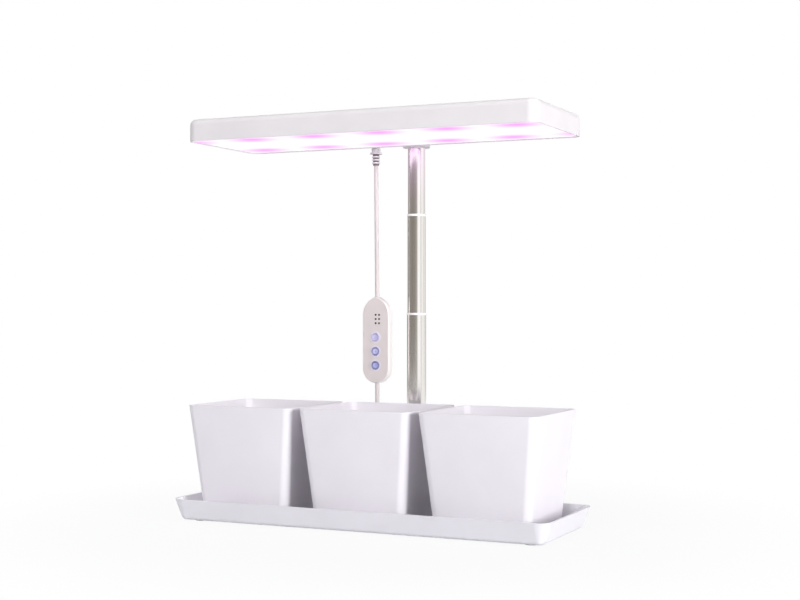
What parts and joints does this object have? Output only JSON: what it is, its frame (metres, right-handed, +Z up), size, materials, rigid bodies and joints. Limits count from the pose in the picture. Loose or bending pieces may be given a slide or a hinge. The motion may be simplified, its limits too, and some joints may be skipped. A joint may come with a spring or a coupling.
{
  "type": "countertop garden",
  "caption": "Square tapered pots in a long drip tray under a flat LED grow lamp on a telescopic steel mast, with a push-button controller on the lamp's cord.",
  "frame": {"origin": "middle of the footprint of tray, pots, lamp and mast (the cord left out), on the table top under the rubber pads", "axes": "+X along the tray, +Y to the back where the mast stands, +Z up the mast"},
  "size_m": [0.4, 0.2051, 0.4047],
  "materials": {
    "tray_plastic": "satin moulded plastic",
    "pot_plastic": "satin moulded plastic",
    "pad_rubber": "matt rubber",
    "lamp_plastic": "satin moulded plastic",
    "mast_steel": "polished plated steel",
    "nylon": "natural nylon",
    "screw_steel": "zinc-plated steel",
    "plug_alloy": "turned aluminium",
    "opal_plastic": "opal diffuser, lit",
    "board_aluminium": "white-coated aluminium board",
    "white_emitter": "phosphor-coated emitter",
    "red_emitter": "red emitter",
    "lead_insulation": "soft insulation",
    "cord_sheath": "satin soft sheath",
    "gland_rubber": "satin soft moulding",
    "case_plastic": "satin moulded plastic",
    "face_plastic": "fine matt panel",
    "circuit_laminate": "green circuit laminate",
    "switch_plastic": "black moulded plastic",
    "button_plastic": "translucent lit plastic",
    "lens_plastic": "smoked lens",
    "plug_plastic": "satin moulded plastic",
    "plug_steel": "nickel-plated steel",
    "contact_plastic": "moulded plate",
    "tie_plastic": "soft plastic strap"
  },
  "bodies": {
    "stand": {"tray": "tray_plastic", "feet_pads": "pad_rubber", "mast_foot": "lamp_plastic", "foot_screws": "screw_steel", "mast_screw": "screw_steel", "base_plug": "plug_alloy", "foot_grub_screw": "screw_steel", "mast_tube_outer": "mast_steel", "cord_lower_low": "cord_sheath", "cord_bend": "cord_sheath", "cord_coil": "cord_sheath", "cord_tail": "cord_sheath", "coil_tie": "tie_plastic", "plug_body": "plug_plastic", "plug_shell": "plug_steel", "plug_contact_plate": "contact_plastic"},
    "mast_lower": {"mast_tube_lower": "mast_steel", "bush_lower": "nylon", "cord_lower_top": "cord_sheath"},
    "mast_middle": {"mast_tube_middle": "mast_steel", "bush_middle": "nylon", "cord_upper_top": "cord_sheath", "cord_upper_low": "cord_sheath"},
    "lamp": {"mast_tube_top": "mast_steel", "bush_top": "nylon", "lamp_housing": "lamp_plastic", "boss_grub_screw": "screw_steel", "diffuser": "opal_plastic", "led_board_front": "board_aluminium", "led_board_rear": "board_aluminium", "white_leds": "white_emitter", "red_leds": "red_emitter", "board_screws": "screw_steel", "link_leads": "lead_insulation", "inlet_leads": "lead_insulation", "cord_gland": "gland_rubber"},
    "controller": {"controller_front": "case_plastic", "controller_face": "face_plastic", "controller_back": "case_plastic", "controller_board": "circuit_laminate", "tact_switches": "switch_plastic", "indicator_lenses": "lens_plastic", "controller_screws": "screw_steel", "cord_grips": "gland_rubber"},
    "timer_button": {"button_timer": "button_plastic"},
    "dimmer_button": {"button_dimmer": "button_plastic"},
    "power_button": {"button_power": "button_plastic"},
    "left_pot": {"pot_left": "pot_plastic"},
    "middle_pot": {"pot_middle": "pot_plastic"},
    "right_pot": {"pot_right": "pot_plastic"}
  },
  "joints": [
    {"name": "mast_lower_slide", "type": "slide", "parent": "stand", "child": "mast_lower", "axis": [0, 0, 1], "range_m": [-0.058, 0], "deforming": ["cord_lower_low"]},
    {"name": "mast_middle_slide", "type": "slide", "parent": "mast_lower", "child": "mast_middle", "axis": [0, 0, 1], "range_m": [-0.096, 0], "deforming": ["cord_upper_low"]},
    {"name": "lamp_slide", "type": "slide", "parent": "mast_middle", "child": "lamp", "axis": [0, 0, 1], "range_m": [-0.068, 0], "deforming": ["cord_upper_top"]},
    {"name": "controller_hang", "type": "slide", "parent": "mast_lower", "child": "controller", "axis": [0, 0, 1], "range_m": [-0.0384, 0], "deforming": ["cord_lower_top"]},
    {"name": "timer_button_press", "type": "slide", "parent": "controller", "child": "timer_button", "axis": [0, 1, 0], "range_m": [0, 0.0005], "stiffness_N_per_m": 1500},
    {"name": "dimmer_button_press", "type": "slide", "parent": "controller", "child": "dimmer_button", "axis": [0, 1, 0], "range_m": [0, 0.0005], "stiffness_N_per_m": 1500},
    {"name": "power_button_press", "type": "slide", "parent": "controller", "child": "power_button", "axis": [0, 1, 0], "range_m": [0, 0.0005], "stiffness_N_per_m": 1500},
    {"name": "left_pot_lift", "type": "slide", "parent": "stand", "child": "left_pot", "axis": [0, 0, 1], "range_m": [0, 0.04]},
    {"name": "middle_pot_lift", "type": "slide", "parent": "stand", "child": "middle_pot", "axis": [0, 0, 1], "range_m": [0, 0.04]},
    {"name": "right_pot_lift", "type": "slide", "parent": "stand", "child": "right_pot", "axis": [0, 0, 1], "range_m": [0, 0.04]}
  ],
  "couplings": [
    {"joint": "controller_hang", "follows": "mast_middle_slide", "ratio": 0.4}
  ]
}
